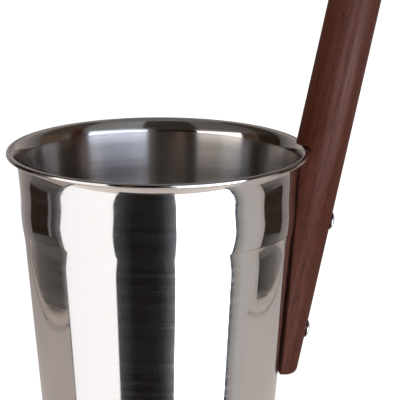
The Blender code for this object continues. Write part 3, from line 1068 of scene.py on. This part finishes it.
# Cards of the bench, with their left and right edge, height and tone.
BENCH_FRONT = -0.06
BENCH_BACK = 0.48
BENCH_TOP = -0.0010
BENCH_TRIM = -0.0005
CARD_THICKNESS = 0.0002
BENCH_CARDS = (
    ("bench_left", -0.307, 0.0, BENCH_TOP, (0.54, 0.475, 0.45)),
    ("bench_right", 0.0, 0.338, BENCH_TOP, (0.64, 0.58, 0.565)),
    ("bench_edge_left", -0.315, -0.303, BENCH_TRIM, (0.62, 0.50, 0.43)),
    ("bench_edge_right", 0.329, 0.341, BENCH_TRIM, (0.60, 0.53, 0.48)),
    ("bench_joint_left", -0.291, -0.284, BENCH_TRIM, (0.22, 0.18, 0.165)),
    ("bench_joint_right", 0.308, 0.315, BENCH_TRIM, (0.36, 0.33, 0.31)),
)

SENSOR_WIDTH = 36.0
FLOOR_SIZE = 14.0
FLOOR_TONE = (0.88, 0.88, 0.88)
STUDIO_FLOOR_HEIGHT = -0.8
STUDIO_FLOOR_SCALE = (1.45, 1.2, 1.0)
STUDIO_FLOOR_TONE = (1.0, 0.91, 0.86)
CEILING_TONE = (0.19, 0.185, 0.18)
DISC_SIDES = 64

# Lamps with their bearings in degrees and their shares of the lamp power.
LAMPS = (("lamp_left", -63.0, 0.6), ("lamp_right", 41.0, 0.5))
LAMP_WIDTH = 0.9
LAMP_HEIGHT = 1.2
LAMP_DISTANCE = 1.7
LAMP_ELEVATION = math.radians(22)
LAMP_AIM = Vector((0.0, 0.0, 0.15))


class PAIL_OT_make_stage(Operator):
    """Set up the camera, the floor, the lamps and the studio that the steel reflects"""

    bl_idname = "bath_pail.make_stage"
    bl_label = "Make stage"

    def execute(self, context):
        scene = context.scene
        stage = scene.pail_stage
        scene.view_settings.view_transform = "Standard"
        self.add_camera(scene, stage)
        self.add_world(scene, stage)
        self.add_floor(stage)
        self.add_lamps(scene, stage)
        for (foot, head), panels in STUDIO_PANELS.items():
            for panel in panels:
                self.add_panel(stage, foot, head, *panel)
        self.add_bench(stage)
        self.add_studio_floor(stage)
        self.card(self.level_disc("studio_ceiling", RING_RADIUS, HIGHEST), CEILING_TONE)
        return {"FINISHED"}

    def toward(self, bearing, elevation):
        """Unit vector from the pail at a bearing from the front and an elevation, in radians."""
        level = math.cos(elevation)
        return Vector((math.sin(bearing) * level, -math.cos(bearing) * level, math.sin(elevation)))

    def add_camera(self, scene, stage):
        """The camera at its bearing and elevation, aimed by its offset from the rim's middle."""
        back = self.toward(stage.azimuth, stage.elevation)
        right = Vector((math.cos(stage.azimuth), math.sin(stage.azimuth), 0.0))
        up = back.cross(right)
        rim = Vector((0.0, 0.0, scene.pail_sizes.curl_height))
        aim = rim + right * stage.aim_right + up * stage.aim_up
        data = bpy.data.cameras.new("camera")
        data.lens = stage.lens
        data.sensor_width = SENSOR_WIDTH
        data.dof.use_dof = False
        camera = bpy.data.objects.new("camera", data)
        turn = Matrix((right, up, back)).transposed().to_4x4()
        camera.matrix_world = Matrix.Translation(aim + back * stage.distance) @ turn
        scene.collection.objects.link(camera)
        scene.camera = camera

    def seen_directly(self, nodes):
        """One for rays from the camera, off shiny surfaces and through clear ones, else zero."""
        path = nodes.add("ShaderNodeLightPath").outputs
        seen = nodes.math("MAXIMUM", path["Is Camera Ray"], path["Is Glossy Ray"])
        return nodes.math("MAXIMUM", seen, path["Is Transmission Ray"])

    def add_world(self, scene, stage):
        """Even light from all round, and white where it is seen."""
        world = bpy.data.worlds.new("studio")
        world.use_nodes = True
        nodes = Nodes(world.node_tree)
        strength = nodes.remap(self.seen_directly(nodes), 0.0, 1.0, stage.ambient, 1.0)
        nodes.feed(world.node_tree.nodes["Background"], {"Color": WHITE, "Strength": strength})
        scene.world = world

    def add_floor(self, stage):
        """The pale floor, white where it is lit, which keeps the pail's shadow."""
        deselect()
        bpy.ops.mesh.primitive_plane_add(size=FLOOR_SIZE)
        floor = named("floor")
        material, nodes, shader, _ = new_material("pale_floor")
        nodes.feed(shader, {
            "Base Color": FLOOR_TONE,
            "Roughness": 1.0,
            "Specular IOR Level": 0.0,
            "Emission Color": WHITE,
            "Emission Strength": nodes.product(self.seen_directly(nodes), stage.floor_lift),
        })
        floor.data.materials.append(material)
        floor.visible_glossy = False

    def add_lamps(self, scene, stage):
        """Two large lamps in front, in the middle of the softboxes."""
        for name, bearing, power_share in LAMPS:
            data = bpy.data.lights.new(name, "AREA")
            data.shape = "RECTANGLE"
            data.size = LAMP_WIDTH
            data.size_y = LAMP_HEIGHT
            data.energy = stage.lamp_power * power_share
            lamp = bpy.data.objects.new(name, data)
            away = self.toward(stage.azimuth + math.radians(bearing), LAMP_ELEVATION)
            lamp.location = LAMP_AIM + away * LAMP_DISTANCE
            lamp.rotation_euler = away.to_track_quat("Z", "Y").to_euler()
            lamp.visible_glossy = False
            scene.collection.objects.link(lamp)

    def card(self, piece, tone, light=1.0):
        """Makes a piece a glowing card that only reflections see, and that isn't sampled as a lamp."""
        material = bpy.data.materials.new(piece.name)
        material.use_nodes = True
        material.node_tree.nodes.clear()
        material.cycles.emission_sampling = "NONE"
        nodes = Nodes(material.node_tree)
        emission = nodes.add("ShaderNodeEmission", {"Color": tone, "Strength": light})
        nodes.add("ShaderNodeOutputMaterial", {"Surface": emission.outputs["Emission"]})
        piece.data.materials.append(material)
        for rays in ("camera", "diffuse", "transmission", "shadow"):
            setattr(piece, f"visible_{rays}", False)
        return nodes, emission

    def add_panel(self, stage, foot, head, name, first, last, tint, light, last_light=None, bend=1.0):
        """A curved panel that stands round the pail."""
        span = math.radians(last - first)
        steps = max(3, round(last - first))
        piece = spun(name, [(RING_RADIUS, foot), (RING_RADIUS, head)], steps, span)
        piece.rotation_euler.z = stage.azimuth + math.radians(first) - QUARTER_TURN
        nodes, emission = self.card(piece, tint, light)
        if last_light is None:
            return
        inputs = {"Vector": nodes.coordinates(), "Rotation": (0.0, 0.0, -span / 2)}
        centred = nodes.add("ShaderNodeMapping", inputs).outputs["Vector"]
        sweep = nodes.add("ShaderNodeTexGradient", {"Vector": centred}, gradient_type="RADIAL")
        half = span / FULL_TURN / 2
        along = nodes.remap(sweep.outputs["Fac"], 0.5 - half, 0.5 + half)
        bent = nodes.math("POWER", along, bend)
        nodes.feed(emission, {"Strength": nodes.remap(bent, 0.0, 1.0, light, last_light)})

    def add_bench(self, stage):
        """The pale bench that the pail stands on, square to the camera, darker towards its far side."""
        for name, left, right, height, tone in BENCH_CARDS:
            low = (left, BENCH_FRONT, height - CARD_THICKNESS)
            piece = box_tool(name, low, (right, BENCH_BACK, height))
            piece.rotation_euler.z = stage.azimuth
            nodes, emission = self.card(piece, tone)
            back = nodes.parts(nodes.coordinates())["Y"]
            nodes.feed(emission, {"Strength": nodes.remap(back, 0.05, 0.42, 1.0, 0.66)})

    def level_disc(self, name, radius, height):
        """A round card that lies level at a height."""
        deselect()
        bpy.ops.mesh.primitive_circle_add(vertices=DISC_SIDES, radius=radius, fill_type="NGON")
        disc = named(name)
        disc.location.z = height
        return disc

    def add_studio_floor(self, stage):
        """The room's floor under the bench, lit more on both sides, where the softboxes stand."""
        piece = self.level_disc("studio_floor", 1.0, STUDIO_FLOOR_HEIGHT)
        piece.scale = STUDIO_FLOOR_SCALE
        piece.rotation_euler.z = stage.azimuth
        nodes, emission = self.card(piece, STUDIO_FLOOR_TONE)
        aside = nodes.math("ABSOLUTE", nodes.parts(nodes.coordinates())["X"])
        nodes.feed(emission, {"Strength": nodes.remap(aside, 0.1, 0.8, 0.78, 1.15)})


PIECE_OPERATORS = (
    PAIL_OT_make_vessel,
    PAIL_OT_make_handle,
    PAIL_OT_make_screws,
    PAIL_OT_make_seals,
    PAIL_OT_make_washers,
    PAIL_OT_make_cap_nuts,
    PAIL_OT_make_stage,
)


class PAIL_PT_sidebar(Panel):
    """Lists the pail's sizes and the operators that make its pieces"""

    bl_idname = "PAIL_PT_sidebar"
    bl_label = "Bath pail"
    bl_space_type = "VIEW_3D"
    bl_region_type = "UI"
    bl_category = "Bath pail"

    def draw(self, context):
        for settings in SETTINGS:
            group = getattr(context.scene, settings)
            column = self.layout.column(align=True)
            for name in group.__annotations__:
                column.prop(group, name)
        for operator in PIECE_OPERATORS:
            self.layout.operator(operator.bl_idname)


SETTINGS = {
    "pail_sizes": PailSizes,
    "handle_sizes": HandleSizes,
    "fastening_sizes": FasteningSizes,
    "pail_finish": FinishSettings,
    "pail_stage": StageSettings,
}
CLASSES = (*SETTINGS.values(), *PIECE_OPERATORS, PAIL_PT_sidebar)


def register():
    for item in CLASSES:
        bpy.utils.register_class(item)
    for name, group in SETTINGS.items():
        setattr(bpy.types.Scene, name, PointerProperty(type=group))


def unregister():
    for name in SETTINGS:
        delattr(bpy.types.Scene, name)
    for item in reversed(CLASSES):
        bpy.utils.unregister_class(item)


def main():
    register()
    bpy.ops.bath_pail.make_vessel()
    bpy.ops.bath_pail.make_handle()
    bpy.ops.bath_pail.make_screws()
    bpy.ops.bath_pail.make_seals()
    bpy.ops.bath_pail.make_washers()
    bpy.ops.bath_pail.make_cap_nuts()
    bpy.ops.bath_pail.make_stage()


if __name__ == "__main__":
    main()
